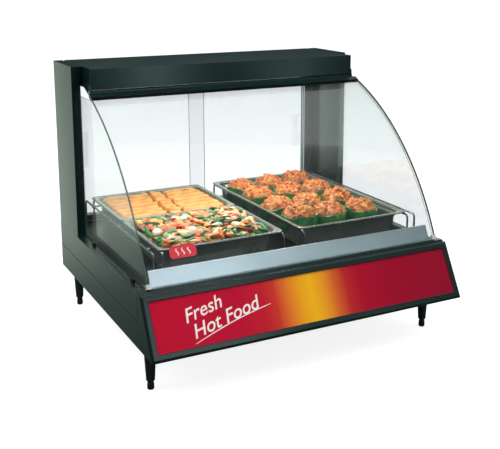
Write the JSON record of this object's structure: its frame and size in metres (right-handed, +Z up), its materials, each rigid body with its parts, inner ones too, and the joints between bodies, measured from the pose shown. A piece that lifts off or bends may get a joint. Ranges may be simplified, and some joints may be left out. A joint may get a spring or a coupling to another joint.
{
  "type": "heated food display case",
  "caption": "Countertop heated display case with a lift-up curved glass front, sliding glass rear doors, wire racks, food pans, slanted sign and tapered legs.",
  "frame": {"origin": "middle of the footprint, on the counter under the feet", "axes": "+X to the right as a customer at the front sees it, +Y to the rear, +Z up"},
  "size_m": [0.826, 0.7226, 0.682],
  "materials": {
    "black_paint": "satin",
    "stainless": "brushed",
    "hard_coat": "hard anodised",
    "screw_steel": "plain",
    "aluminium": "satin",
    "polished_reflector": "polished",
    "element_sheath": "matt",
    "clear_glass": "clear",
    "lamp_glass": "frosted",
    "rack_wire": "plated",
    "sign_graphic": "printed",
    "clear_plastic": "clear",
    "black_plastic": "moulded",
    "heater_mat": "matt",
    "insulation": "fibrous",
    "pepper_food": "food",
    "slab_food": "food",
    "vegetable_food": "food"
  },
  "bodies": {
    "case": {"base_pan": "black_paint", "lower_side_panel_left": "black_paint", "lower_side_panel_right": "black_paint", "upper_side_panel_left": "black_paint", "upper_side_panel_right": "black_paint", "rear_panel": "black_paint", "front_panel": "black_paint", "sign_frame": "black_paint", "control_panel": "black_paint", "column_left": "black_paint", "column_right": "black_paint", "hood_shell": "black_paint", "hood_end_caps": "black_paint", "hood_underplate": "black_paint", "hinge_brackets": "black_paint", "side_glass_clips": "black_paint", "deck_plate": "hard_coat", "inner_strip": "stainless", "rear_screws": "screw_steel", "hinge_rod": "screw_steel", "door_jambs": "aluminium", "lower_door_track": "aluminium", "upper_door_track": "aluminium", "reflector": "polished_reflector", "infrared_element": "element_sheath", "side_glass_left": "clear_glass", "side_glass_right": "clear_glass", "display_lamps": "lamp_glass", "sign_insert": "sign_graphic", "thermostat_body": "black_plastic", "cord_gland": "black_plastic", "lamp_sockets": "black_plastic", "leg_front_left": "black_plastic", "leg_front_right": "black_plastic", "leg_rear_left": "black_plastic", "leg_rear_right": "black_plastic", "heater_blanket": "heater_mat", "insulation_board": "insulation"},
    "glass_front": {"front_glass": "clear_glass", "glass_hinge_rail": "black_paint", "glass_bumpers": "clear_plastic"},
    "left_door": {"rear_door_left": "clear_glass", "door_pull_left": "clear_plastic"},
    "right_door": {"rear_door_right": "clear_glass", "door_pull_right": "clear_plastic"},
    "left_rack": {"pan_rack_left": "rack_wire"},
    "right_rack": {"pan_rack_right": "rack_wire"},
    "full_pan_set": {"full_pan": "stainless", "stuffed_peppers": "pepper_food"},
    "rear_pan_set": {"rear_half_pan": "stainless", "baked_slabs": "slab_food"},
    "front_pan_set": {"front_half_pan": "stainless", "mixed_vegetables": "vegetable_food"},
    "heat_rocker": {"heat_switch": "black_plastic"},
    "lamp_rocker": {"lamp_switch": "black_plastic"},
    "heat_knob": {"thermostat_knob": "black_plastic"},
    "front_left_foot": {"foot_front_left": "black_plastic"},
    "front_right_foot": {"foot_front_right": "black_plastic"},
    "rear_left_foot": {"foot_rear_left": "black_plastic"},
    "rear_right_foot": {"foot_rear_right": "black_plastic"}
  },
  "joints": [
    {"name": "glass_hinge", "type": "hinge", "parent": "case", "child": "glass_front", "pos_m": [0, 0.12033, 0.622], "axis": [-1, 0, 0], "range_deg": [0, 45]},
    {"name": "left_door_slide", "type": "slide", "parent": "case", "child": "left_door", "axis": [1, 0, 0], "range_m": [0, 0.34]},
    {"name": "right_door_slide", "type": "slide", "parent": "case", "child": "right_door", "axis": [-1, 0, 0], "range_m": [0, 0.34]},
    {"name": "left_rack_lift", "type": "slide", "parent": "case", "child": "left_rack", "axis": [0, 0, 1], "range_m": [0, 0.02]},
    {"name": "right_rack_lift", "type": "slide", "parent": "case", "child": "right_rack", "axis": [0, 0, 1], "range_m": [0, 0.02]},
    {"name": "full_pan_lift", "type": "slide", "parent": "right_rack", "child": "full_pan_set", "axis": [0, 0, 1], "range_m": [0, 0.05]},
    {"name": "rear_pan_lift", "type": "slide", "parent": "left_rack", "child": "rear_pan_set", "axis": [0, 0, 1], "range_m": [0, 0.05]},
    {"name": "front_pan_lift", "type": "slide", "parent": "left_rack", "child": "front_pan_set", "axis": [0, 0, 1], "range_m": [0, 0.05]},
    {"name": "heat_switch_rock", "type": "hinge", "parent": "case", "child": "heat_rocker", "pos_m": [0.222, 0.34083, 0.17], "axis": [-1, 0, 0], "range_deg": [0, 14]},
    {"name": "lamp_switch_rock", "type": "hinge", "parent": "case", "child": "lamp_rocker", "pos_m": [0.256, 0.34083, 0.17], "axis": [-1, 0, 0], "range_deg": [0, 14]},
    {"name": "heat_knob_turn", "type": "hinge", "parent": "case", "child": "heat_knob", "pos_m": [0.302, 0.34083, 0.17], "axis": [0, -1, 0], "range_deg": [0, 270]},
    {"name": "front_left_foot_turn", "type": "hinge", "parent": "case", "child": "front_left_foot", "pos_m": [-0.378, -0.25167, 0.02], "axis": [0, 0, 1], "continuous": true},
    {"name": "front_right_foot_turn", "type": "hinge", "parent": "case", "child": "front_right_foot", "pos_m": [0.378, -0.25167, 0.02], "axis": [0, 0, 1], "continuous": true},
    {"name": "rear_left_foot_turn", "type": "hinge", "parent": "case", "child": "rear_left_foot", "pos_m": [-0.378, 0.31483, 0.02], "axis": [0, 0, 1], "continuous": true},
    {"name": "rear_right_foot_turn", "type": "hinge", "parent": "case", "child": "rear_right_foot", "pos_m": [0.378, 0.31483, 0.02], "axis": [0, 0, 1], "continuous": true}
  ]
}
